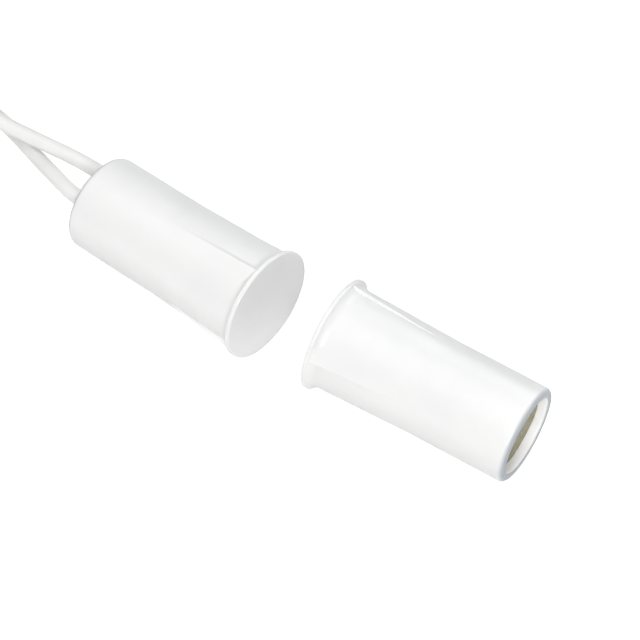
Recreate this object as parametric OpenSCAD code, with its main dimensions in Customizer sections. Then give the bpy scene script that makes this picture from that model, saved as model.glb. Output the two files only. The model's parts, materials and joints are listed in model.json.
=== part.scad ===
// Recessed magnetic door contact: a reed switch in a ribbed press-fit barrel that is let into
// the door frame, and a magnet in a barrel of the same moulding that is let into the door.
// Millimetres. The pair lies on a table top at Z = 0, the switch's front face towards +X.
// In a housing's own frame the front face is at Z = 0 looking towards +Z, and "depth" is
// measured from that face towards the rear end.

/* [Housings] */
// Length of each housing from its front face to its rear end
body_len = 19.6; // [18.5:0.1:21]
// Radius of the flange that stops against the wood
flange_r = 5.3; // [5.1:0.05:5.5]
// Thickness of the flange's rim
flange_t = 0.45; // [0.4:0.05:0.6]
// Radius of the barrel behind the flange
barrel_r = 4.75; // [4.65:0.05:4.85]
// Radius of the straight rear stretch that enters the drilled hole first
pilot_r = 4.5; // [4.4:0.05:4.6]
// Length of the straight rear stretch, from the rear end
pilot_len = 9.2; // [8:0.1:9.5]
// Radius of the bore that holds the parts inside
bore_r = 3.55; // [3.5:0.05:3.6]
// Thickness of the closed front wall
front_wall = 1; // [0.8:0.1:1.2]

/* [Crush ribs] */
// Depth at which a rib has run out into the barrel
rib_end = 10.3; // [8:0.1:10.5]
// Angle between the two ribs of a pair
rib_pair = 97; // [80:1:100]
// Angle of the switch housing's first rib
switch_rib_turn = 185.5; // [0:0.5:360]
// Angle of the magnet housing's first rib
magnet_rib_turn = 112; // [0:0.5:360]

/* [Layout] */
// Angle between the two barrels as they lie on the table
magnet_turn = 7.4; // [0:0.1:12]
// Distance from the switch's front face to the magnet's, along X
face_gap = 6.34; // [4:0.01:12]
// Offset between the centres of the two faces, along Y
face_offset = 1.26; // [-2:0.01:2]

/* [Reed switch] */
// Length of the glass envelope
glass_len = 10; // [9:0.1:10.5]
// Radius of the glass envelope
glass_r = 0.95; // [0.9:0.05:1]
// Gap between the two blades at rest
blade_gap = 0.12; // [0.1:0.01:0.16]
// Length over which the two blades overlap
blade_lap = 0.4; // [0.3:0.05:0.5]

/* [Magnet] */
// Radius of the magnet
magnet_r = 3.175; // [3:0.025:3.3]
// Length of the magnet
magnet_len = 12.7; // [10:0.1:13]
// Depth of the recess left behind the magnet's potting
magnet_recess = 1.2; // [1:0.1:2]

/* [Leads] */
// Radius of a lead over its insulation
lead_r = 0.7; // [0.65:0.01:0.72]
// Radius of the bunched copper strands
strand_r = 0.38; // [0.3:0.01:0.45]
// Length of the stripped and tinned end
bare_len = 6; // [5:0.5:8]

/* [Hidden] */
$fn = 96;
bit = 0.01;
seam = 0.02;

// Housing outline
rim_round = 0.12;
fillet_r = 1;
rear_round = 0.5;
mouth_round = 0.3;
arc_steps = 6;
rim_steps = 3;
fillet_from = acos(flange_step() / fillet_r - 1);
barrel_start = flange_t + sqrt(fillet_r * fillet_r - pow(fillet_r - flange_step(), 2));
pilot_start = body_len - pilot_len;

// Ribs
rib_steps = 8;
rib_start = 0.2;
rib_root = 0.5;
rib_crest = flange_r - 0.06;
rib_sink = 0.04;
rib_min_width = 3;

// How the housings lie: each rests on its flange and on its rear edge
pitch = atan((flange_r - pilot_r) / (body_len - rear_round - flange_t + rim_round));
face_height = (flange_t - rim_round) * sin(pitch) + flange_r * cos(pitch);
switch_face = [-3.26, -1.42];
magnet_face = [switch_face.x + face_gap, switch_face.y + face_offset];

// Reed switch, across the bore: X points down when the switch lies on its table
reed_at = [-0.9, -1.4];
return_at = [-0.9, 1.9];
glass_start = 2.9;
glass_end = glass_start + glass_len;
seal_len = 2.2;
seal_round = 0.45;
cavity_r = 0.7;
wire_r = 0.25;
wire_turn_depth = 1.9;
wire_bend = 0.5;
wire_end = 14.2;
blade_w = 0.9;
blade_t = 0.16;
blade_clear = 0.03;
blade_taper = 0.15;
blade_len = (glass_len - 2 * seal_len + blade_lap) / 2 - blade_clear;
sleeve_wall = 0.2;
return_sleeve_start = 2.5;
return_sleeve_end = 13.2;

// Splices, potting and the leads inside the potting
splice_start = 13.4;
splice_end = 15;
splice_r = 0.55;
lead_start = 15.6;
potting_start = 13;
potting_end = body_len - 1;
lead_clear = 0.03;

// Magnet's pad and potting
pad_t = 0.6;
pad_r = 3;
magnet_chamfer = 0.3;
magnet_start = front_wall + pad_t;
magnet_end = magnet_start + magnet_len;
meniscus = 0.3;

// Coil of spare lead: lead B's turns lie on the table and lead A's lie on them
lead_sides = 8;
coil_centre = [-48, -4.3];
coil_mean_r = 7.2;
coil_pitch = 1.45;
coil_across = 3;
coil_layers = 2;
layer_h = 1.425;
coil_half = coil_across * coil_pitch / 2;
coil_h = coil_layers * layer_h;
coil_chamfer = 0.4;
tie_w = 2;
tie_t = 0.35;
tie_turn = 235;
tie_head = [1.6, 3, 1.2];
a_end_turn = 255;
b_end_turn = 265;

// Lead A runs straight back and comes down onto the upper coil
lead_a_route = [
    [-18.89, 0.48, 5.54], [-21, 0.48, 5.45], [-22.9, 0.5, 5.37], [-24.7, 0.55, 5.32],
    [-26.5, 0.5, 5.24], [-28.3, 0.4, 5.12], [-30.1, 0.25, 4.95], [-31.9, 0.12, 4.75],
    [-33.7, 0, 4.53], [-35.4, -0.08, 4.32], [-37, -0.1, 4.12], [-38.6, 0.2, 3.95],
    [-40.2, 0.85, 3.75], [-41.7, 1.8, 3.62], [-43.04, 2.79, 3.56]
];
// Lead B crosses under lead A, comes down onto the table and runs into the lower coil
lead_b_route = [
    [-18.89, -2.82, 5.54], [-21, -2.82, 5.45], [-22.9, -2.82, 5.35], [-24.7, -2.75, 5.2],
    [-26.4, -2.35, 4.9], [-28.1, -1.8, 4.45], [-29.8, -1.2, 3.87], [-31.4, -0.58, 3.3],
    [-33, 0.05, 2.72], [-34.6, 0.65, 2.2], [-36.2, 1.17, 1.78], [-37.9, 1.65, 1.42],
    [-39.9, 2.1, 1.05], [-42.1, 2.65, 0.8], [-44.34, 3.54, 0.72]
];

// ---------- shared shapes ----------

function flange_step() = flange_r - rim_round - barrel_r;
function unit(v) = v / norm(v);
function arc(centre, r, from, to, steps = arc_steps) =
    [for (i = [0:steps]) let (turn = from + (to - from) * i / steps) centre + r * [cos(turn), sin(turn)]];

// Barrel radius at a depth: a slight draft from the flange to the straight rear stretch
function barrel_at(depth) =
    depth <= barrel_start ? barrel_r :
    depth >= pilot_start ? pilot_r :
    barrel_r - (barrel_r - pilot_r) * (depth - barrel_start) / (pilot_start - barrel_start);

// Puts a housing's own frame on the table, turned about the vertical
module place(face, turn) {
    translate([face.x, face.y, face_height]) rotate([0, 90 - pitch, turn]) children();
}

module in_switch() {
    place(switch_face, 0) children();
}

module in_magnet() {
    place(magnet_face, 180 + magnet_turn) children();
}

// A round bar along the housing between two depths
module bar(at, from, to, r) {
    translate([at.x, at.y, -to]) cylinder(h = to - from, r = r);
}

module tube(at, from, to, r_in, r_out) {
    difference() {
        bar(at, from, to, r_out);
        bar(at, from - 1, to + 1, r_in);
    }
}

// ---------- housings ----------

module housing_outline() {
    polygon(concat(
        [[0, 0]],
        arc([flange_r - rim_round, -rim_round], rim_round, 90, 0, rim_steps),
        arc([flange_r - rim_round, -flange_t + rim_round], rim_round, 0, -90, rim_steps),
        arc([barrel_r + fillet_r, -barrel_start], fillet_r, fillet_from, 180),
        [[pilot_r, -pilot_start]],
        arc([pilot_r - rear_round, -body_len + rear_round], rear_round, 0, -90),
        [[0, -body_len]]
    ));
}

// One saw-tooth rib: a step face on one side, a ramp that runs out into the barrel on the other
function rib_depth(i) = rib_start + (rib_end - rib_start) * i / rib_steps;
function rib_r(depth) =
    rib_crest - (rib_crest - barrel_at(rib_end) + rib_sink) * depth / rib_end;
function rib_width(depth) =
    max(rib_min_width, acos(min(1, barrel_at(depth) / rib_r(depth))));
function rib_slice(depth) =
    let (foot = barrel_at(depth), wide = rib_width(depth))
    [for (p = [[foot - rib_root, 0], [rib_r(depth), 0], [foot - rib_sink, wide], [foot - rib_root, wide]])
        [p[0] * cos(p[1]), p[0] * sin(p[1]), -depth]];

module rib() {
    corners = 4;
    last = rib_steps * corners;
    polyhedron(
        [for (i = [0:rib_steps]) each rib_slice(rib_depth(i))],
        concat(
            [[3, 2, 1, 0], [last, last + 1, last + 2, last + 3]],
            [for (i = [0:rib_steps - 1], k = [0:corners - 1])
                [i * corners + k, i * corners + (k + 1) % corners,
                 (i + 1) * corners + (k + 1) % corners, (i + 1) * corners + k]]
        )
    );
}

module housing(first_rib) {
    difference() {
        union() {
            rotate_extrude() housing_outline();
            for (turn = [0, rib_pair, 180, 180 + rib_pair]) rotate(first_rib + turn) rib();
        }
        bar([0, 0], front_wall, body_len + 1, bore_r);
        translate([0, 0, -body_len - bit])
            cylinder(h = mouth_round, r1 = bore_r + mouth_round, r2 = bore_r);
    }
}

module switch_housing() {
    color("whitesmoke") in_switch() housing(switch_rib_turn);
}

module magnet_housing() {
    color("whitesmoke") in_magnet() housing(magnet_rib_turn);
}

// ---------- reed switch ----------

module reed_glass() {
    end_r = glass_r - seal_round;
    cavity_start = glass_start + seal_len;
    cavity_end = glass_end - seal_len;
    color("honeydew", 0.5) in_switch() translate([reed_at.x, reed_at.y, 0]) difference() {
        rotate_extrude() polygon(concat(
            [[0, -glass_start]],
            arc([end_r, -glass_start - seal_round], seal_round, 90, 0),
            arc([end_r, -glass_end + seal_round], seal_round, 0, -90),
            [[0, -glass_end]]
        ));
        bar([0, 0], glass_start - 1, glass_end + 1, wire_r + bit);
        bar([0, 0], cavity_start, cavity_end, cavity_r);
    }
}

// A flat blade from its root beside the glass seal to its tip; side is where it stands off the middle
module blade(root, tip, side) {
    off = side > 0 ? blade_gap / 2 : -blade_gap / 2 - blade_t;
    top = -min(root, tip);
    low = -max(root, tip);
    top_w = blade_w / 2 - (root > tip ? blade_taper : 0);
    low_w = blade_w / 2 - (root > tip ? 0 : blade_taper);
    translate([reed_at.x + off, reed_at.y, 0]) rotate([90, 0, 90]) linear_extrude(blade_t)
        polygon([[-top_w, top], [top_w, top], [low_w, low], [-low_w, low]]);
}

module reed_blade_front() {
    root = glass_start + seal_len + blade_clear;
    color("silver") in_switch() blade(root, root + blade_len, 1);
}

module reed_blade_rear() {
    root = glass_end - seal_len - blade_clear;
    color("silver") in_switch() blade(root, root - blade_len, -1);
}

// A quarter bend of the terminal wire, from the +Y direction round to -Z
module wire_elbow(at, turn) {
    translate(at) rotate([0, 0, turn]) rotate([90, 0, 0])
        rotate_extrude(angle = 90) translate([wire_bend, 0]) circle(r = wire_r);
}

// The front terminal comes out of the glass, turns over and runs back beside it
module reed_terminal_front() {
    turn_start = wire_turn_depth + wire_bend;
    color("lightgray") in_switch() union() {
        bar(reed_at, turn_start, glass_start + seal_len, wire_r);
        bar(return_at, turn_start, wire_end, wire_r);
        wire_elbow([reed_at.x, reed_at.y + wire_bend, -turn_start], -90);
        wire_elbow([return_at.x, return_at.y - wire_bend, -turn_start], 90);
        translate([reed_at.x, reed_at.y + wire_bend, -wire_turn_depth]) rotate([-90, 0, 0])
            cylinder(h = return_at.y - reed_at.y - 2 * wire_bend, r = wire_r);
    }
}

module reed_terminal_rear() {
    color("lightgray") in_switch() bar(reed_at, glass_end - seal_len, wire_end, wire_r);
}

module reed_sleeve() {
    color("dimgray") in_switch()
        tube(reed_at, glass_start + seal_round, glass_end - seal_round, glass_r + bit, glass_r + sleeve_wall);
}

module return_sleeve() {
    color("linen") in_switch()
        tube(return_at, return_sleeve_start, return_sleeve_end, wire_r + bit, wire_r + sleeve_wall);
}

// ---------- splices, potting and leads ----------

module splice(at) {
    difference() {
        bar(at, splice_start, splice_end, splice_r);
        bar(at, splice_start - 1, wire_end, wire_r + bit);
        bar(at, wire_end - bit, splice_end + 1, strand_r + bit);
    }
}

module conductor(at) {
    bar(at, wire_end, lead_start, strand_r);
}

module splice_a() {
    color("tan") in_switch() splice(return_at);
}

module splice_b() {
    color("tan") in_switch() splice(reed_at);
}

module conductor_a() {
    color("peru") in_switch() conductor(return_at);
}

module conductor_b() {
    color("peru") in_switch() conductor(reed_at);
}

module potting_hole(at) {
    bar(at, potting_start - 1, splice_start, wire_r + bit);
    bar(at, splice_start - bit, splice_end + bit, splice_r + bit);
    bar(at, splice_end, lead_start, strand_r + bit);
    bar(at, lead_start - bit, potting_end + 1, lead_r + lead_clear);
}

module switch_potting() {
    color("antiquewhite") in_switch() difference() {
        bar([0, 0], potting_start, potting_end, bore_r - seam);
        potting_hole(reed_at);
        potting_hole(return_at);
        bar(return_at, potting_start - 1, return_sleeve_end + bit, wire_r + sleeve_wall + bit);
    }
}

// The corners of a lead's cross-section at one point of its route, and the tube through them all
function ring(path, i, r) =
    let (
        t = unit(path[min(i + 1, len(path) - 1)] - path[max(i - 1, 0)]),
        side = unit(cross(t, [0, 0, 1])),
        up = cross(side, t)
    )
    [for (k = [0:lead_sides - 1])
        path[i] + r * (cos(360 * k / lead_sides) * side + sin(360 * k / lead_sides) * up)];

module swept(path, r) {
    n = lead_sides;
    last = (len(path) - 1) * n;
    polyhedron(
        [for (i = [0:len(path) - 1]) each ring(path, i, r)],
        concat(
            [[for (k = [n - 1:-1:0]) k], [for (k = [0:n - 1]) last + k]],
            [for (i = [0:len(path) - 2], k = [0:n - 1])
                [i * n + k, i * n + (k + 1) % n, (i + 1) * n + (k + 1) % n, (i + 1) * n + k]]
        )
    );
}

module lead_a() {
    color("white") swept(lead_a_route, lead_r);
}

module lead_b() {
    color("white") swept(lead_b_route, lead_r);
}

// The outer shape of one lead's turns
module coil(base) {
    in_r = coil_mean_r - coil_half;
    out_r = coil_mean_r + coil_half;
    c = coil_chamfer;
    translate([coil_centre.x, coil_centre.y, base]) rotate_extrude() polygon([
        [in_r + c, 0], [out_r - c, 0], [out_r, c], [out_r, coil_h - c],
        [out_r - c, coil_h], [in_r + c, coil_h], [in_r, coil_h - c], [in_r, c]
    ]);
}

module lead_a_coil() {
    color("snow") coil(coil_h);
}

module lead_b_coil() {
    color("snow") coil(0);
}

// A stripped end that leaves the outermost turn along its tangent
module bare_end(turn, height) {
    translate([coil_centre.x, coil_centre.y, height]) rotate(turn)
        translate([coil_mean_r + coil_pitch, 0, 0]) rotate([-90, 0, 0]) cylinder(h = bare_len, r = strand_r);
}

module lead_a_end() {
    color("silver") bare_end(a_end_turn, coil_h + 1.5 * layer_h);
}

module lead_b_end() {
    color("silver") bare_end(b_end_turn, 1.5 * layer_h);
}

// A wrap tie round all the turns, with its small head on top
module lead_tie() {
    inner = [2 * coil_half, 2 * coil_h];
    outer = [inner.x + 2 * tie_t, inner.y + 2 * tie_t];
    color("ivory") translate([coil_centre.x, coil_centre.y, 0]) rotate(tie_turn)
        translate([coil_mean_r, 0, 0]) union() {
            translate([0, tie_w / 2, 0]) rotate([90, 0, 0]) linear_extrude(tie_w) difference() {
                translate([-outer.x / 2, 0]) square(outer);
                translate([-inner.x / 2, tie_t]) square(inner);
            }
            translate([-tie_head.x / 2, -tie_head.y / 2, outer.y - tie_t]) cube(tie_head);
        }
}

// ---------- magnet ----------

module magnet() {
    c = magnet_chamfer;
    color("dimgray") in_magnet() rotate_extrude() polygon([
        [0, -magnet_start], [magnet_r - c, -magnet_start], [magnet_r, -magnet_start - c],
        [magnet_r, -magnet_end + c], [magnet_r - c, -magnet_end], [0, -magnet_end]
    ]);
}

module magnet_pad() {
    color("lightgray") in_magnet() bar([0, 0], front_wall, magnet_start, pad_r);
}

// Amber potting with a dished top that climbs the bore's wall
module magnet_potting() {
    top = body_len - magnet_recess;
    wall_r = bore_r - seam;
    steps = 8;
    color("darkgoldenrod") in_magnet() rotate_extrude() polygon(concat(
        [[0, -magnet_end], [wall_r, -magnet_end]],
        [for (i = [steps:-1:0]) [wall_r * i / steps, -top - meniscus * pow(i / steps, 4)]]
    ));
}

switch_housing();
reed_glass();
reed_blade_front();
reed_blade_rear();
reed_terminal_front();
reed_terminal_rear();
reed_sleeve();
return_sleeve();
splice_a();
splice_b();
conductor_a();
conductor_b();
switch_potting();
lead_a();
lead_b();
lead_a_coil();
lead_b_coil();
lead_a_end();
lead_b_end();
lead_tie();
magnet_housing();
magnet();
magnet_pad();
magnet_potting();
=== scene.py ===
"""Looks of a recessed magnetic door contact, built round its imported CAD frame.

Two ribbed barrels lie on a pale floor. The switch's barrel has two leads, whose spare length is
coiled out of the picture. The magnet's barrel shows its open end and the amber resin in it.
Lengths named in this file are in millimetres unless they say otherwise.
"""

import json
import math

import bpy
from mathutils import Matrix, Vector, noise


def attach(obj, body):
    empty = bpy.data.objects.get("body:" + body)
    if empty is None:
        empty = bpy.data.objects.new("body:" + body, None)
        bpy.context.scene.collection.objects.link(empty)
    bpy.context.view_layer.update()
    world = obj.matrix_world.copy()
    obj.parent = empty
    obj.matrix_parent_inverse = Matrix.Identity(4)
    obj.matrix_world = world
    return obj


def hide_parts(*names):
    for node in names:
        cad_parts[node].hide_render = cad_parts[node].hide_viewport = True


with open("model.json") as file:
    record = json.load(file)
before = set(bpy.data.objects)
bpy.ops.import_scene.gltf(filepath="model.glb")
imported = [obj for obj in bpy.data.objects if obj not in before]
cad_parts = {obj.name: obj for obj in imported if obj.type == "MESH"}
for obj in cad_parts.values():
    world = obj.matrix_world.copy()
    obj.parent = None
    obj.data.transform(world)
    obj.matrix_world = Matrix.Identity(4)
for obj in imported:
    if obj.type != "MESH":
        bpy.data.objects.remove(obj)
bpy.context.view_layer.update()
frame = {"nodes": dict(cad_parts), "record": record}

MM = 0.001

# Housing: depth is measured from the flanged front face towards the open rear end
BODY_LEN = 19.6
FLANGE_R = 5.3
FLANGE_T = 0.45
RIM_ROUND = 0.12
FILLET_R = 1.0
BARREL_R = 4.75
PILOT_R = 4.5
PILOT_START = BODY_LEN - 9.2
REAR_ROUND = 0.5
BORE_R = 3.55
FRONT_WALL = 1.0
INNER_CHAMFER = 0.2
MOUTH_ROUND = 0.3
FLANGE_STEP = FLANGE_R - RIM_ROUND - BARREL_R
BARREL_START = FLANGE_T + math.sqrt(FILLET_R**2 - (FILLET_R - FLANGE_STEP) ** 2)

# Radii of the mesh's rings on the front face and on the inner floor
FACE_RINGS = (0.6, 1.4, 2.4, 3.4, 4.3, 4.9)
INNER_RINGS = (BORE_R - INNER_CHAMFER, 2.4, 1.0)

# Saw-tooth crush ribs; turns are in degrees
RIB_START = 0.2
RIB_END = 10.3
RIB_CREST = FLANGE_R - 0.06
RIB_SINK = 0.04
RIB_PAIR = 97
SWITCH_RIB_TURN = 185.5
MAGNET_RIB_TURN = 112

# A rib's step face rises over RIB_STEP_WIDE degrees, and its edge is worn down by RIB_WORN, which
# fades out over RIB_WORN_WIDE degrees
RIB_STEP_WIDE = 0.35
RIB_WORN = 0.025
RIB_WORN_WIDE = 0.9

# The mesh's columns, in degrees: from each rib's step face, and evenly all round, but for those
# that would crowd a rib's columns
RIB_COLUMNS = (-1.2, -0.6, -RIB_STEP_WIDE, -0.17, 0, 0.25, 0.5, RIB_WORN_WIDE, 1.5, 2.4)
COLUMN_EVERY = 3.0
COLUMN_CLEAR = 0.6

# Waves in the housing's skin: height, and how many noise cells there are to a metre
SKIN_WAVES = ((0.012, 260), (0.006, 620))

# Tones of the housing's skin, how far the tone drifts at random either way, and the tones' colours:
# the rear rim's painted shade, the plain skin, and the bore's painted light
# Tone 0 paints shade on the rear rim and tone 1 paints light in the bore; 0.5 is the plain plastic
RIM_PAINTED_SHADE, PLAIN_TONE, BORE_PAINTED_LIGHT = 0, 0.5, 1
TONE_DRIFT = 0.08
# The rim's cool blue-grey is painted shade where the rim faces away from the lamps; the bore's near
# white is painted light, standing in for light shining into the bore and through its thin wall
RIM_PAINTED_SHADE_COLOUR = (0.42, 0.455, 0.485)
PLAIN_COLOUR = (0.82, 0.82, 0.815)
BORE_PAINTED_LIGHT_COLOUR = (0.97, 0.97, 0.97)

# Nearly all values of a noise texture lie between these two
NOISE_LOW, NOISE_HIGH = 0.3, 0.7

# What the housings hold: the gap between resin and bore, the places of the two wires across the
# bore, and each resin's first and last depth
SEAM = 0.02
REED_AT = (-0.9, -1.4)
RETURN_AT = (-0.9, 1.9)
SWITCH_RESIN = (13.0, 18.6)
MAGNET_RESIN = (14.3, 18.4)
MENISCUS = 0.3
MENISCUS_UNEVEN = 0.14

# Mesh of a resin plug: its rings crowd towards the wall, and one more is on its front end
PLUG_SIDES = 120
PLUG_RINGS = 34
PLUG_CROWDING = 1.35
PLUG_FRONT_RING = 0.6

# Burst bubbles in the magnet's resin: place across the bore and radius, and their depth as a share
# of the radius
BUBBLES = [(1.6, -1.1, 0.22), (-0.7, 2.1, 0.16), (-2.2, -0.9, 0.28), (0.5, 0.4, 0.12), (2.4, 1.2, 0.14)]
BUBBLE_DEPTH = 0.5

# The switch's resin sinks in its middle and climbs the wires that stand in it
RESIN_SINK = 0.25
WIRE_CLIMB = 0.22
WIRE_CLIMB_WIDE = 0.35

# Leads, and the strands twisted round the middle one at their stripped ends; the twist over the
# whole end is in degrees
LEAD_R = 0.7
STRAND_COUNT = 6
STRAND_R = 0.127
STRAND_SINK = 0.01
STRAND_TWIST = 300
STRAND_OPENING = 0.10
STRAND_TIP = 0.75
BARE_LEN = 6.0

# The coil: each lead's turns are two layers deep, and lead A's lie on lead B's. A lead's turns run
# from its START to its END, in degrees, and COIL_WHOLE_TURNS more
COIL_CENTRE = (-48.0, -4.3)
COIL_MEAN_R = 7.2
COIL_PITCH = 1.45
COIL_ACROSS = 3
LAYER_H = 1.425
COIL_H = 2 * LAYER_H
COIL_WHOLE_TURNS = 5
COIL_POINT_EVERY = 8
A_START, A_END = 55, 255
B_START, B_END = 65, 265

# Where a lead's turns change radius or height, in degrees from where its coil starts: first and
# last degree, change of radius, change of height
COIL_STEPS = [
    (305, 360, -COIL_PITCH, 0),
    (665, 720, -COIL_PITCH, 0),
    (977, 1025, 0, LAYER_H),
    (1282, 1337, COIL_PITCH, 0),
    (1642, 1697, COIL_PITCH, 0),
]

# The tie round the coil: strap, head and cut tail. The turns rise over the strap in a hump about
# TIE_HUMP degrees to each side
TIE_TURN = 235
TIE_HUMP = 15
TIE_W = 2.0
TIE_T = 0.35
TIE_SINK = 0.01
TIE_BEND_R = 0.8
TIE_EDGE = 0.08
TIE_HEAD = (1.6, 3.0, 1.2)
TIE_HEAD_EDGE = 0.14
TIE_HEAD_CORNER = 0.25
TIE_TAIL = 0.9
TIE_TAIL_EDGE = 0.06
TIE_TAIL_CORNER = 0.1
TIE_TAIL_SINK = 0.1

# The leads' routes up to their coils, in metres
LEAD_A_ROUTE = [
    (-0.01889, 0.00048, 0.00554), (-0.021, 0.00048, 0.00545), (-0.0229, 0.0005, 0.00537),
    (-0.0247, 0.00055, 0.00532), (-0.0265, 0.0005, 0.00524), (-0.0283, 0.0004, 0.00512),
    (-0.0301, 0.00025, 0.00495), (-0.0319, 0.00012, 0.00475), (-0.0337, 0, 0.00453),
    (-0.0354, -0.00008, 0.00432), (-0.037, -0.0001, 0.00412), (-0.0386, 0.0002, 0.00395),
    (-0.0402, 0.00085, 0.00375), (-0.0417, 0.0018, 0.00362), (-0.04304, 0.00279, 0.00356),
]
LEAD_B_ROUTE = [
    (-0.01889, -0.00282, 0.00554), (-0.021, -0.00282, 0.00545), (-0.0229, -0.00282, 0.00535),
    (-0.0247, -0.00275, 0.0052), (-0.0264, -0.00235, 0.0049), (-0.0281, -0.0018, 0.00445),
    (-0.0298, -0.0012, 0.00387), (-0.0314, -0.00058, 0.0033), (-0.033, 0.00005, 0.00272),
    (-0.0346, 0.00065, 0.0022), (-0.0362, 0.00117, 0.00178), (-0.0379, 0.00165, 0.00142),
    (-0.0399, 0.0021, 0.00105), (-0.0421, 0.00265, 0.0008), (-0.04434, 0.00354, 0.00072),
]

# The floor's half width in metres, its glow, and the strength of the light from all round
FLOOR_HALF = 0.6
FLOOR_GLOW = 0.42
ROOM_LIGHT = 0.02

# The camera: the point it looks at, its bearing and rise in degrees, its distance, and its lens,
# sensor and nearest distance in Blender's own units
LOOK_AT = (-1.09, 3.29, 0.0)
CAMERA_TURN = 39.061
CAMERA_RISE = 53.914
CAMERA_AWAY = 278.579
CAMERA_LENS = 174.94
CAMERA_SENSOR = 36
CAMERA_CLIP = 0.01


# ---------- small helpers ----------

def ease(t):
    """0 to 1 with a level start and end."""
    return (1 - math.cos(math.pi * min(1, max(0, t)))) / 2


def turn_past(turn, mark):
    """How many degrees turn lies past mark, from -180 to 180."""
    return (turn - mark + 180) % 360 - 180


def on_circle(centre, radius, turn, height):
    """A point round a vertical axis, in millimetres; turn is in degrees."""
    a = math.radians(turn)
    return Vector((centre[0] + radius * math.cos(a), centre[1] + radius * math.sin(a), height))


def mount(name):
    return next(m for m in frame["record"]["mounts"] if m["name"] == name)


def housing_place(face):
    """The matrix from a housing's own millimetres to the row frame: +Z out of its front face."""
    z = Vector(mount(face)["axis"]).normalized()
    y = Vector((0, 0, 1)).cross(z).normalized()
    x = y.cross(z)
    turn = Matrix((x, y, z)).transposed().to_4x4()
    return Matrix.Translation(Vector(mount(face)["pos_m"])) @ turn @ Matrix.Scale(MM, 4)


def new_piece(name, points, faces, material, place=None):
    """A smooth mesh piece from points in millimetres."""
    place = place or Matrix.Scale(MM, 4)
    mesh = bpy.data.meshes.new(name)
    mesh.from_pydata([place @ Vector(p) for p in points], [], faces)
    mesh.validate()
    mesh.shade_smooth()
    mesh.materials.append(material)
    piece = bpy.data.objects.new(name, mesh)
    bpy.context.scene.collection.objects.link(piece)
    return piece


def even_normals(piece, sharp=50):
    """Flat faces stay flat beside narrow rounded edges."""
    piece.data.set_sharp_from_angle(angle=math.radians(sharp))
    modifier = piece.modifiers.new("even_normals", "WEIGHTED_NORMAL")
    modifier.keep_sharp = True


def ring_faces(rings, size):
    """Faces of a closed skin of rings with a single point at each end."""
    first, last = 0, 1 + rings * size
    faces = [(first, 1 + (k + 1) % size, 1 + k) for k in range(size)]
    for i in range(rings - 1):
        a, b = 1 + i * size, 1 + (i + 1) * size
        faces += [(a + k, a + (k + 1) % size, b + (k + 1) % size, b + k) for k in range(size)]
    end = 1 + (rings - 1) * size
    faces += [(last, end + k, end + (k + 1) % size) for k in range(size)]
    return faces


def tube_faces(rings, size):
    """Faces of a tube of rings, closed flat at both ends."""
    faces = [tuple(range(size - 1, -1, -1))]
    for i in range(rings - 1):
        a, b = i * size, (i + 1) * size
        faces += [(a + k, a + (k + 1) % size, b + (k + 1) % size, b + k) for k in range(size)]
    faces.append(tuple((rings - 1) * size + k for k in range(size)))
    return faces


# ---------- materials ----------

def new_material(name):
    material = bpy.data.materials.new(name)
    material.use_nodes = True
    return material, material.node_tree.nodes, material.node_tree.links


def noise_node(nodes, links, scale, detail=3.0, rough=0.55, stretch=None):
    """Noise in the object's own metres; stretch scales it along each axis first."""
    place = nodes.new("ShaderNodeTexCoord")
    texture = nodes.new("ShaderNodeTexNoise")
    texture.inputs["Scale"].default_value = scale
    texture.inputs["Detail"].default_value = detail
    texture.inputs["Roughness"].default_value = rough
    if stretch:
        mapping = nodes.new("ShaderNodeMapping")
        mapping.inputs["Scale"].default_value = stretch
        links.new(place.outputs["Object"], mapping.inputs["Vector"])
        links.new(mapping.outputs["Vector"], texture.inputs["Vector"])
    else:
        links.new(place.outputs["Object"], texture.inputs["Vector"])
    return texture


def set_sockets(shader, values):
    """Set a shader's own sockets from a dictionary of their names and values."""
    for socket, value in values.items():
        shader.inputs[socket].default_value = value


def vary_colour(nodes, links, shader, texture, dark, light):
    ramp = nodes.new("ShaderNodeValToRGB")
    ramp.color_ramp.elements[0].position = NOISE_LOW
    ramp.color_ramp.elements[1].position = NOISE_HIGH
    ramp.color_ramp.elements[0].color = (*dark, 1)
    ramp.color_ramp.elements[1].color = (*light, 1)
    links.new(texture.outputs["Fac"], ramp.inputs["Fac"])
    links.new(ramp.outputs["Color"], shader.inputs["Base Color"])


def vary_roughness(nodes, links, shader, texture, low, high):
    spread = nodes.new("ShaderNodeMapRange")
    spread.inputs["From Min"].default_value = NOISE_LOW
    spread.inputs["From Max"].default_value = NOISE_HIGH
    spread.inputs["To Min"].default_value = low
    spread.inputs["To Max"].default_value = high
    links.new(texture.outputs["Fac"], spread.inputs["Value"])
    links.new(spread.outputs["Result"], shader.inputs["Roughness"])


def add_bump(nodes, links, shader, textures, heights):
    """Bumps from several textures; heights holds the height of each one's bump, in metres."""
    under = None
    for texture, height in zip(textures, heights):
        bump = nodes.new("ShaderNodeBump")
        bump.inputs["Strength"].default_value = 1.0
        bump.inputs["Distance"].default_value = height
        links.new(texture.outputs["Fac"], bump.inputs["Height"])
        if under:
            links.new(under.outputs["Normal"], bump.inputs["Normal"])
        under = bump
    links.new(under.outputs["Normal"], shader.inputs["Normal"])


def surface(name, dark, light, rough, grain, depth, detail=4.0, stretch=None, **sockets):
    """A finish whose colour and roughness drift and whose surface has a fine grain.

    grain gives the texture scale of the drift and of the grain, depth their heights in metres, and
    sockets the shader's own sockets, with an underscore for a space.
    """
    material, nodes, links = new_material(name)
    shader = nodes["Principled BSDF"]
    drift = noise_node(nodes, links, grain[0], detail)
    fine = noise_node(nodes, links, grain[1], detail, stretch=stretch)
    vary_colour(nodes, links, shader, drift, dark, light)
    vary_roughness(nodes, links, shader, fine, *rough)
    add_bump(nodes, links, shader, (drift, fine), depth)
    set_sockets(shader, {socket.replace("_", " "): value for socket, value in sockets.items()})
    return material


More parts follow.
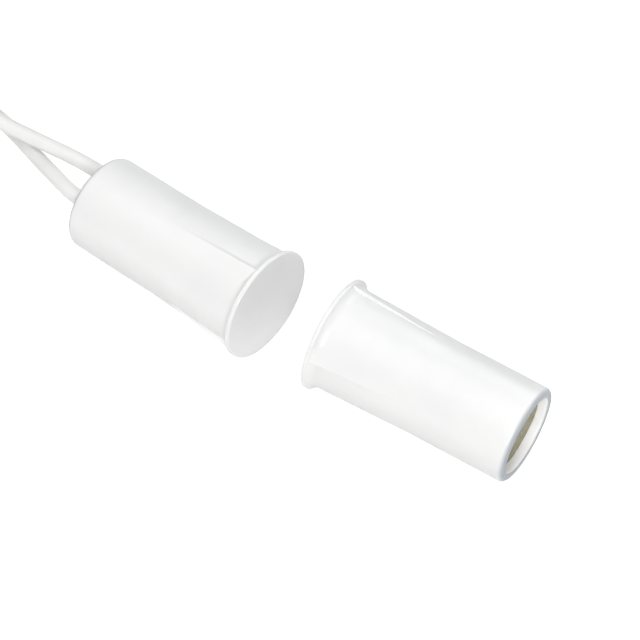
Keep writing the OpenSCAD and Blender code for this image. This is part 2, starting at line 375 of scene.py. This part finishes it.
def housing_plastic():
    """Satin white moulded ABS with faint sinks and a fine spark-eroded grain.

    A mesh attribute says where the skin is the plain white (0.5), where the rear rim gets painted
    shade, a cool grey (0), and where the bore gets painted light, near white (1).
    """
    material, nodes, links = new_material("moulded_abs")
    shader = nodes["Principled BSDF"]
    drift = noise_node(nodes, links, scale=160, detail=4.0)
    grain = noise_node(nodes, links, scale=5200, detail=4.0)
    # This attribute paints shade on the rear rim and light in the bore; the noise drift added to it is
    # random colour
    painted_light_and_shade = nodes.new("ShaderNodeAttribute")
    painted_light_and_shade.attribute_name = "painted_light_and_shade"
    spread = nodes.new("ShaderNodeMapRange")
    spread.inputs["To Min"].default_value = -TONE_DRIFT
    spread.inputs["To Max"].default_value = TONE_DRIFT
    add = nodes.new("ShaderNodeMath")
    ramp = nodes.new("ShaderNodeValToRGB")
    ramp.color_ramp.elements[0].color = (*RIM_PAINTED_SHADE_COLOUR, 1)
    ramp.color_ramp.elements[1].color = (*BORE_PAINTED_LIGHT_COLOUR, 1)
    ramp.color_ramp.elements.new(PLAIN_TONE).color = (*PLAIN_COLOUR, 1)
    links.new(drift.outputs["Fac"], spread.inputs["Value"])
    links.new(spread.outputs["Result"], add.inputs[0])
    links.new(painted_light_and_shade.outputs["Fac"], add.inputs[1])
    links.new(add.outputs["Value"], ramp.inputs["Fac"])
    links.new(ramp.outputs["Color"], shader.inputs["Base Color"])
    vary_roughness(nodes, links, shader, grain, low=0.32, high=0.44)
    add_bump(nodes, links, shader, (drift, grain), heights=(2.5e-5, 1.2e-6))
    set_sockets(shader, {
        "IOR": 1.53,
        "Coat Weight": 0.1,
        "Coat Roughness": 0.22,
        "Subsurface Weight": 0.4,
        "Subsurface Scale": 0.001,
        "Subsurface Radius": (1, 1, 1),
    })
    return material


def lead_plastic():
    """Soft extruded PVC, a little waxy."""
    return surface(
        "lead_pvc", dark=(0.80, 0.80, 0.785), light=(0.84, 0.84, 0.83), rough=(0.34, 0.48),
        grain=(420, 6500), depth=(1.2e-5, 2.0e-6), IOR=1.52, Sheen_Weight=0.06, Sheen_Roughness=0.4,
    )


def amber_resin():
    """Clear brown epoxy, cast and glossy, with cloudy streaks in it."""
    return surface(
        "amber_epoxy", dark=(0.19, 0.17, 0.09), light=(0.38, 0.35, 0.22), rough=(0.16, 0.30),
        grain=(700, 2600), depth=(6.0e-5, 8.0e-6), IOR=1.50, Coat_Weight=0.1, Coat_Roughness=0.1,
    )


def white_resin():
    """Off-white epoxy, cast and glossy."""
    return surface(
        "cast_epoxy", dark=(0.70, 0.67, 0.60), light=(0.80, 0.78, 0.72), rough=(0.18, 0.34),
        grain=(520, 3000), depth=(4.0e-5, 4.0e-6), IOR=1.54, Coat_Weight=0.3, Coat_Roughness=0.12,
    )


def tinned_copper():
    """Bright tinned wire."""
    return surface(
        "tinned_copper", dark=(0.62, 0.61, 0.59), light=(0.80, 0.80, 0.79), rough=(0.18, 0.38),
        grain=(900, 7000), depth=(6.0e-6, 2.0e-6), Metallic=1.0,
    )


def tie_nylon():
    """Natural nylon, moulded."""
    return surface(
        "natural_nylon", dark=(0.74, 0.73, 0.68), light=(0.80, 0.79, 0.75), rough=(0.30, 0.45),
        grain=(500, 5000), depth=(1.0e-5, 2.0e-6), IOR=1.53,
    )


def reed_glass():
    """Clear, faintly green glass with the ripples that a gas flame leaves at its sealed ends."""
    material, nodes, links = new_material("sealing_glass")
    shader = nodes["Principled BSDF"]
    set_sockets(shader, {
        "Base Color": (0.86, 0.95, 0.88, 1),
        "Transmission Weight": 0.92,
        "IOR": 1.49,
    })
    ripple = noise_node(nodes, links, scale=600, detail=2.0)
    streak = noise_node(nodes, links, scale=2600, detail=3.0)
    vary_roughness(nodes, links, shader, streak, low=0.02, high=0.09)
    add_bump(nodes, links, shader, (ripple, streak), heights=(2.0e-5, 1.5e-6))
    return material


def inner_finishes():
    """Finishes of the CAD parts that are sealed inside the housings."""
    reed = surface(
        "reed_alloy", dark=(0.60, 0.58, 0.54), light=(0.74, 0.72, 0.68), rough=(0.16, 0.30),
        grain=(900, 9000), depth=(3.0e-6, 1.5e-6), stretch=(0.15, 1, 1), Metallic=1.0,
    )
    shrink = surface(
        "shrink_tubing", dark=(0.012, 0.012, 0.014), light=(0.024, 0.024, 0.026),
        rough=(0.42, 0.60), grain=(600, 5200), depth=(2.0e-5, 4.0e-6),
    )
    ptfe = surface(
        "ptfe_sleeving", dark=(0.70, 0.69, 0.65), light=(0.78, 0.77, 0.74), rough=(0.36, 0.52),
        grain=(700, 5200), depth=(1.0e-5, 3.0e-6), Subsurface_Weight=0.2, Subsurface_Scale=0.0005,
    )
    brass = surface(
        "crimped_brass", dark=(0.44, 0.31, 0.11), light=(0.66, 0.50, 0.22), rough=(0.22, 0.44),
        grain=(1100, 7000), depth=(3.0e-5, 4.0e-6), Metallic=1.0,
    )
    alnico = surface(
        "ground_alnico", dark=(0.16, 0.16, 0.165), light=(0.27, 0.27, 0.28), rough=(0.30, 0.52),
        grain=(500, 7000), depth=(6.0e-6, 6.0e-6), stretch=(0.12, 1, 1), Metallic=0.9,
    )
    foam = surface(
        "closed_cell_foam", dark=(0.20, 0.20, 0.205), light=(0.34, 0.34, 0.345),
        rough=(0.75, 0.92), grain=(2400, 5200), depth=(1.2e-4, 6.0e-5),
    )
    return {
        "reed_glass": reed_glass(), "reed_alloy": reed, "tinned_wire": tinned_copper(),
        "shrink_sleeve": shrink, "ptfe_sleeve": ptfe, "splice_brass": brass,
        "magnet_alloy": alnico, "foam_pad": foam,
    }


def finish_cad_parts():
    """Each CAD part takes the finish of its own material slot."""
    finishes = inner_finishes()
    for part in frame["record"]["subparts"]:
        if part["material_slot"] in finishes:
            mesh = frame["nodes"][part["node"]].data
            mesh.materials.clear()
            mesh.materials.append(finishes[part["material_slot"]])


# ---------- camera ----------

def make_camera():
    turn, rise = math.radians(CAMERA_TURN), math.radians(CAMERA_RISE)
    back = Vector((math.sin(turn) * math.cos(rise), -math.cos(turn) * math.cos(rise), math.sin(rise)))
    camera = bpy.data.objects.new("camera", bpy.data.cameras.new("camera"))
    camera.data.lens = CAMERA_LENS
    camera.data.sensor_width = CAMERA_SENSOR
    camera.data.clip_start = CAMERA_CLIP
    camera.location = (Vector(LOOK_AT) + back * CAMERA_AWAY) * MM
    camera.rotation_euler = back.to_track_quat("Z", "Y").to_euler()
    bpy.context.scene.collection.objects.link(camera)
    bpy.context.scene.camera = camera


# ---------- leads ----------

def tie_lift(turn):
    """How far the turns rise where they pass over the tie's strap."""
    return TIE_T * math.exp(-((turn_past(turn, TIE_TURN) / TIE_HUMP) ** 2))


def coil_point(turn, start, base):
    """A point of one lead's turns, in metres; the lead's coil starts at start degrees.

    The turns keep their radius and only step in, up or out, one after another, so that no turn
    meets the one beside it.
    """
    radius = COIL_MEAN_R + COIL_PITCH
    height = base
    for begin, end, out, up in COIL_STEPS:
        share = ease((turn - (start + begin)) / (end - begin))
        radius += out * share
        height += up * share
    return on_circle(COIL_CENTRE, radius, turn, height + tie_lift(turn)) * MM


def coil_line(start, end, base):
    """The points of one lead's turns, in metres, from where its route ends to its bare end."""
    span = end + 360 * COIL_WHOLE_TURNS - start
    count = round(span / COIL_POINT_EVERY)
    return [coil_point(start + span * i / count, start, base) for i in range(1, count + 1)]


def make_lead(name, route, start, end, base, material, nodes):
    """One lead as a round tube along its route and its turns."""
    line = [Vector(p) for p in route] + coil_line(start, end, base)
    curve = bpy.data.curves.new(name, "CURVE")
    curve.dimensions = "3D"
    curve.resolution_u = 4
    curve.bevel_depth = LEAD_R * MM
    curve.bevel_resolution = 6
    curve.use_fill_caps = True
    spline = curve.splines.new("BEZIER")
    spline.bezier_points.add(len(line) - 1)
    for bend, point in zip(spline.bezier_points, line):
        bend.co = point
        bend.handle_left_type = "AUTO"
        bend.handle_right_type = "AUTO"
    curve.materials.append(material)
    lead = bpy.data.objects.new(name, curve)
    bpy.context.scene.collection.objects.link(lead)
    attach(lead, "switch_half")
    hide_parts(*nodes)
    return lead


def strand_rings(start, along, side, up, turn0, off, sides=10, rings=28):
    """One strand of the bunch, off its middle and twisted round it, opening a little at its tip."""
    points = []
    for i in range(rings + 1):
        share = i / rings
        twist = turn0 + STRAND_TWIST * share
        spread = off * (1 + STRAND_OPENING * share**3)
        middle = start + along * (BARE_LEN * share)
        middle += spread * (math.cos(math.radians(twist)) * side + math.sin(math.radians(twist)) * up)
        radius = STRAND_R * (STRAND_TIP if i == rings else 1)
        for k in range(sides):
            a = 2 * math.pi * k / sides
            points.append(middle + radius * (math.cos(a) * side + math.sin(a) * up))
    return points, tube_faces(rings + 1, sides)


def make_strands(name, tip, material, node):
    """A stripped end: a middle strand with the others twisted round it."""
    along = Vector(mount(tip)["axis"]).normalized()
    start = Vector(mount(tip)["pos_m"]) / MM - along * BARE_LEN
    up = Vector((0, 0, 1))
    side = along.cross(up)
    points, faces = [], []
    for k in range(STRAND_COUNT + 1):
        off = 0 if k == STRAND_COUNT else 2 * STRAND_R - STRAND_SINK
        more, skin = strand_rings(start, along, side, up, 360 * k / STRAND_COUNT, off)
        faces += [tuple(i + len(points) for i in face) for face in skin]
        points += more
    strands = new_piece(name, points, faces, material)
    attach(strands, "switch_half")
    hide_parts(node)
    return strands


def rounded_loop(half_w, low, high, corner, steps=8):
    """A closed line round a rectangle with round corners: across and up."""
    points = []
    for x, z, first in (
        (half_w - corner, low + corner, -90), (half_w - corner, high - corner, 0),
        (-half_w + corner, high - corner, 90), (-half_w + corner, low + corner, 180),
    ):
        for i in range(steps + 1):
            a = math.radians(first + 90 * i / steps)
            points.append((x + corner * math.cos(a), z + corner * math.sin(a)))
    return points


def tie_place():
    """The matrix from the tie's own millimetres to the row frame: +X out of the coil."""
    turn = math.radians(TIE_TURN)
    spot = on_circle(COIL_CENTRE, COIL_MEAN_R, TIE_TURN, 0) * MM
    return Matrix.Translation(spot) @ Matrix.Rotation(turn, 4, "Z") @ Matrix.Scale(MM, 4)


def make_tie_strap(material):
    """The strap's loop, with softly rounded edges."""
    half = COIL_ACROSS * COIL_PITCH / 2 + TIE_T / 2
    line = rounded_loop(half, TIE_T / 2, 2 * COIL_H + 1.5 * TIE_T, TIE_BEND_R, steps=10)
    t, w, r = TIE_T / 2 - TIE_SINK, TIE_W / 2, TIE_EDGE
    section = [
        (-t, -w + r), (-t + r, -w), (t - r, -w), (t, -w + r),
        (t, w - r), (t - r, w), (-t + r, w), (-t, w - r),
    ]
    count = len(line)
    points = []
    for i, (x, z) in enumerate(line):
        before, after = line[i - 1], line[(i + 1) % count]
        ahead = Vector((after[0] - before[0], after[1] - before[1])).normalized()
        out = (ahead[1], -ahead[0])
        points += [(x + out[0] * a, b, z + out[1] * a) for a, b in section]
    size = len(section)
    faces = [
        (i * size + k, i * size + (k + 1) % size,
         (i + 1) % count * size + (k + 1) % size, (i + 1) % count * size + k)
        for i in range(count) for k in range(size)
    ]
    strap = new_piece("tie_strap", points, faces, material, tie_place())
    even_normals(strap)
    return strap


def block(size, edge, corner_r, base):
    """A block with rounded edges as rings of a rounded rectangle; its bottom is at base.

    Each edge is two chamfers close to an arc: (height, inset) at their ends.
    """
    w, d, h = size
    points = []
    levels = [(0, edge), (0.25 * edge, 0.4 * edge), (edge, 0)]
    levels = levels + [(h - z, inset) for z, inset in reversed(levels)]
    for z, inset in levels:
        ring = rounded_loop(w / 2 - inset, -d / 2 + inset, d / 2 - inset, corner_r, steps=5)
        points += [(x, y, base + z) for x, y in ring]
    return points, tube_faces(len(levels), len(ring))


def make_tie_head(material):
    """The tie's ratchet head with the strap's cut tail standing out of it."""
    base = 2 * COIL_H + TIE_T
    points, faces = block(TIE_HEAD, TIE_HEAD_EDGE, TIE_HEAD_CORNER, base)
    tail_base = base + TIE_HEAD[2] - TIE_TAIL_SINK
    tail, skin = block((TIE_T, TIE_W, TIE_TAIL), TIE_TAIL_EDGE, TIE_TAIL_CORNER, tail_base)
    faces += [tuple(i + len(points) for i in face) for face in skin]
    head = new_piece("tie_head", points + tail, faces, material, tie_place())
    even_normals(head)
    return head


def make_leads():
    """Both leads with their coils, their stripped ends and the tie."""
    pvc = lead_plastic()
    tin = tinned_copper()
    nylon = tie_nylon()
    low, high = LAYER_H / 2, COIL_H + LAYER_H / 2
    lead_a = make_lead(
        "lead_a_wire", LEAD_A_ROUTE, A_START, A_END, high, pvc, ("lead_a", "lead_a_coil"))
    lead_b = make_lead(
        "lead_b_wire", LEAD_B_ROUTE, B_START, B_END, low, pvc, ("lead_b", "lead_b_coil"))
    strands_a = make_strands("lead_a_strands", "lead_a_tip", tin, "lead_a_end")
    strands_b = make_strands("lead_b_strands", "lead_b_tip", tin, "lead_b_end")
    strap, head = make_tie_strap(nylon), make_tie_head(nylon)
    for piece in (strap, head):
        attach(piece, "switch_half")
    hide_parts("lead_tie")


# ---------- housings ----------

def barrel_at(depth):
    """Barrel radius at a depth: a slight draft from the flange to the straight rear stretch."""
    share = (depth - BARREL_START) / (PILOT_START - BARREL_START)
    return BARREL_R - (BARREL_R - PILOT_R) * min(1, max(0, share))


def rib_radius(depth, past):
    """Radius of one saw-tooth rib, past degrees beyond its step face, or 0 off the rib."""
    crest = RIB_CREST - (RIB_CREST - barrel_at(RIB_END) + RIB_SINK) * depth / RIB_END
    foot = barrel_at(depth)
    if crest <= foot or depth < RIB_START:
        return 0
    wide = math.degrees(math.acos(foot / crest))
    if not -RIB_STEP_WIDE <= past <= wide:
        return 0
    ramp = foot / math.cos(math.radians(wide - max(0, past)))
    if past < 0:
        return foot + (ramp - foot) * (past + RIB_STEP_WIDE) / RIB_STEP_WIDE
    worn = RIB_WORN * max(0, 1 - past / RIB_WORN_WIDE) ** 2
    return max(foot, ramp - worn)


def arc(centre, radius, first, last, steps):
    """(radius, depth) points round an arc; 0 degrees looks outwards and 90 towards the front."""
    turns = [math.radians(first + (last - first) * i / steps) for i in range(steps + 1)]
    return [(centre[0] + radius * math.cos(a), centre[1] - radius * math.sin(a)) for a in turns]


def evenly(first, last, steps):
    """The ends of even steps from first to last."""
    return [first + (last - first) * i / steps for i in range(1, steps + 1)]


def housing_outline():
    """(radius, depth) from the middle of the front face round to the middle of the inner floor."""
    rim_r = FLANGE_R - RIM_ROUND
    fillet_from = math.degrees(math.acos(FLANGE_STEP / FILLET_R - 1))
    rows = [(r, 0) for r in FACE_RINGS]
    rows += arc((rim_r, RIM_ROUND), RIM_ROUND, 90, 0, 5)
    rows += arc((rim_r, FLANGE_T - RIM_ROUND), RIM_ROUND, 0, -90, 5)
    rows += arc((BARREL_R + FILLET_R, BARREL_START), FILLET_R, fillet_from, 180, 12)
    rows += [(barrel_at(d), d) for d in evenly(BARREL_START, PILOT_START, 26)]
    rows += [(PILOT_R, d) for d in evenly(PILOT_START, BODY_LEN - REAR_ROUND, 12)[:-1]]
    rows += arc((PILOT_R - REAR_ROUND, BODY_LEN - REAR_ROUND), REAR_ROUND, 0, -90, 9)
    rows += arc((BORE_R + MOUTH_ROUND, BODY_LEN - MOUTH_ROUND), MOUTH_ROUND, -90, -180, 8)
    rows += [(BORE_R, d) for d in evenly(BODY_LEN - MOUTH_ROUND, FRONT_WALL + INNER_CHAMFER, 10)]
    rows += [(r, FRONT_WALL) for r in INNER_RINGS]
    return rows


def column_turns(ribs):
    """Angles of the mesh's columns: even all round, and close together at each rib's step face."""
    close = sorted({(rib + off) % 360 for rib in ribs for off in RIB_COLUMNS})
    plain = [i * COLUMN_EVERY for i in range(round(360 / COLUMN_EVERY))]
    clear = [a for a in plain if all(abs(turn_past(a, b)) > COLUMN_CLEAR for b in close)]
    return sorted(close + clear)


def unevenness(place, point):
    """Slow waves about a hundredth of a millimetre high, such as a moulded skin has."""
    at = place @ Vector(point)
    return sum(height * noise.noise(at * scale) for height, scale in SKIN_WAVES)


def painted_light_and_shade_at(row, outside, radius, depth):
    """The skin's tone at a row of the outline, of which the first ones are outside.

    It is plain, paints shade as a cool grey over the rear rim, and paints light in the bore.
    """
    if row < outside:
        share = ease((depth - (BODY_LEN - REAR_ROUND)) / REAR_ROUND)
        return PLAIN_TONE + (RIM_PAINTED_SHADE - PLAIN_TONE) * share
    share = ease(2 * (radius - BORE_R) / MOUTH_ROUND)
    return BORE_PAINTED_LIGHT + (RIM_PAINTED_SHADE - BORE_PAINTED_LIGHT) * share


def round_axis(radius, turn, depth):
    """A point of a housing, in its own millimetres."""
    a = math.radians(turn)
    return Vector((radius * math.cos(a), radius * math.sin(a), -depth))


def outer_point(radius, turn, depth, ribs, place):
    """A point of the outer skin, with the ribs and the unevenness of the barrel."""
    if FLANGE_T < depth < RIB_END:
        radius = max([radius] + [rib_radius(depth, turn_past(turn, rib)) for rib in ribs])
    spot = round_axis(radius, turn, depth)
    if BARREL_START < depth < BODY_LEN - REAR_ROUND:
        spot = round_axis(radius - abs(unevenness(place, spot)), turn, depth)
    return spot


def make_housing(name, face, body, first_rib, node, material):
    """One housing as a closed skin: columns all round the outline of its wall."""
    place = housing_place(face)
    ribs = [first_rib + turn for turn in (0, RIB_PAIR, 180, 180 + RIB_PAIR)]
    turns = column_turns(ribs)
    rows = housing_outline()
    outside = sum(1 for r, d in rows if r >= PILOT_R - REAR_ROUND or d == 0)
    points = [(0, 0, 0)]
    painted_light_and_shade_values = [PLAIN_TONE]
    for i, (radius, depth) in enumerate(rows):
        painted_light_and_shade_values += [painted_light_and_shade_at(i, outside, radius, depth)] * len(turns)
        for turn in turns:
            if i < outside:
                points.append(outer_point(radius, turn, depth, ribs, place))
            else:
                points.append(round_axis(radius, turn, depth))
    points.append((0, 0, -FRONT_WALL))
    painted_light_and_shade_values.append(BORE_PAINTED_LIGHT)
    housing = new_piece(name, points, ring_faces(len(rows), len(turns)), material, place)
    # The attribute holds painted shade for the rear rim and painted light for the bore
    housing.data.attributes.new("painted_light_and_shade", "FLOAT", "POINT").data.foreach_set("value", painted_light_and_shade_values)
    even_normals(housing)
    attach(housing, body)
    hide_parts(node)
    return housing


# ---------- resin ----------

def ripple(x, y, layer, scale):
    """Smooth noise across the bore; layer picks one of many patterns."""
    return noise.noise(Vector((x, y, layer)) * scale)


def resin_plug(depths, rise):
    """A cast plug in the bore: rise(x, y) is how far its rear surface stands past the last depth."""
    first, last = depths
    wall = BORE_R - SEAM
    corners = [2 * math.pi * k / PLUG_SIDES for k in range(PLUG_SIDES)]
    points = [(0, 0, -(last + rise(0, 0)))]
    for i in range(1, PLUG_RINGS + 1):
        radius = wall * (1 - (1 - i / PLUG_RINGS) ** PLUG_CROWDING)
        for a in corners:
            x, y = radius * math.cos(a), radius * math.sin(a)
            points.append((x, y, -(last + rise(x, y))))
    for radius in (wall, PLUG_FRONT_RING * wall):
        points += [(radius * math.cos(a), radius * math.sin(a), -first) for a in corners]
    points.append((0, 0, -first))
    return points, ring_faces(PLUG_RINGS + 2, PLUG_SIDES)


def make_magnet_resin(material):
    """Amber resin that climbs the wall a little, with a few burst bubbles."""
    wall = BORE_R - SEAM

    def bubble(x, y, radius):
        return BUBBLE_DEPTH * radius * math.exp(-((math.hypot(x, y) / radius) ** 2) * 2)

    def rise(x, y):
        out = math.hypot(x, y) / wall
        turn = math.atan2(y, x)
        uneven = MENISCUS_UNEVEN * math.sin(2 * turn + 0.7) * math.cos(3 * turn)
        climb = MENISCUS * (1 - MENISCUS_UNEVEN + uneven) * out**5
        waves = 0.05 * ripple(x, y, layer=3.1, scale=0.9)
        pits = sum(bubble(x - u, y - v, r) for u, v, r in BUBBLES)
        return min(climb + waves * (1 - out**4) - pits, MENISCUS)

    points, faces = resin_plug(MAGNET_RESIN, rise)
    resin = new_piece("magnet_resin", points, faces, material, housing_place("magnet_face"))
    even_normals(resin, sharp=70)
    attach(resin, "magnet_half")
    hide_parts("magnet_potting")


def make_switch_resin(material):
    """Off-white resin that climbs the wall and both leads."""
    wall = BORE_R - SEAM

    def rise(x, y):
        out = math.hypot(x, y) / wall
        climb = -RESIN_SINK * (1 - out**5)
        for u, v in (REED_AT, RETURN_AT):
            gap = max(0, math.hypot(x - u, y - v) - LEAD_R)
            climb += WIRE_CLIMB * math.exp(-((gap / WIRE_CLIMB_WIDE) ** 2)) * (1 - out**5)
        return min(0, climb + 0.04 * ripple(x, y, layer=7.7, scale=1.1) * (1 - out**4))

    points, faces = resin_plug(SWITCH_RESIN, rise)
    resin = new_piece("switch_resin", points, faces, material, housing_place("switch_face"))
    even_normals(resin, sharp=70)
    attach(resin, "switch_half")
    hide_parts("switch_potting")


# ---------- studio ----------

def make_floor():
    """A plain white table whose glow keeps its shadows faint.

    Only the camera sees the glow, so it adds nothing to the light on the object.
    """
    material, nodes, links = new_material("white_floor")
    shader = nodes["Principled BSDF"]
    set_sockets(shader, {
        "Base Color": (0.80, 0.80, 0.80, 1),
        "Roughness": 0.7,
        "Emission Color": (1, 1, 1, 1),
    })
    path = nodes.new("ShaderNodeLightPath")
    glow = nodes.new("ShaderNodeMath")
    glow.operation = "MULTIPLY"
    glow.inputs[1].default_value = FLOOR_GLOW
    links.new(path.outputs["Is Camera Ray"], glow.inputs[0])
    links.new(glow.outputs["Value"], shader.inputs["Emission Strength"])
    corners = [(x * FLOOR_HALF, y * FLOOR_HALF, 0) for x, y in ((-1, -1), (1, -1), (1, 1), (-1, 1))]
    mesh = bpy.data.meshes.new("floor")
    mesh.from_pydata(corners, [], [(0, 1, 2, 3)])
    mesh.materials.append(material)
    floor = bpy.data.objects.new("floor", mesh)
    bpy.context.scene.collection.objects.link(floor)


def soft_light(name, place, size, watts, colour=(1, 1, 1)):
    """A square softbox, aimed at the object; its place and size are in metres."""
    light = bpy.data.lights.new(name, "AREA")
    light.shape = "SQUARE"
    light.size = size
    light.energy = watts
    light.color = colour
    lamp = bpy.data.objects.new(name, light)
    lamp.location = place
    lamp.rotation_euler = Vector(place).to_track_quat("Z", "Y").to_euler()
    bpy.context.scene.collection.objects.link(lamp)


def make_studio():
    make_floor()
    soft_light("top_softbox", (-0.05, -0.05, 0.50), size=0.50, watts=1.32)
    soft_light("front_softbox", (0.30, -0.42, 0.40), size=0.35, watts=2.95)
    soft_light("left_softbox", (-0.45, -0.15, 0.25), size=0.35, watts=0.60)
    soft_light("back_softbox", (0.00, 0.45, 0.30), size=0.35, watts=1.38, colour=(0.97, 0.985, 1.0))
    soft_light("right_fill", (0.45, -0.05, 0.30), size=0.35, watts=0.25)
    world = bpy.data.worlds.new("studio")
    world.use_nodes = True
    world.node_tree.nodes["Background"].inputs["Strength"].default_value = ROOM_LIGHT
    bpy.context.scene.world = world
    bpy.context.scene.view_settings.view_transform = "Standard"


make_camera()
make_leads()
white_plastic = housing_plastic()
make_housing(
    "switch_shell", "switch_face", "switch_half", SWITCH_RIB_TURN, "switch_housing", white_plastic)
make_housing(
    "magnet_shell", "magnet_face", "magnet_half", MAGNET_RIB_TURN, "magnet_housing", white_plastic)
make_magnet_resin(amber_resin())
make_switch_resin(white_resin())
finish_cad_parts()
make_studio()
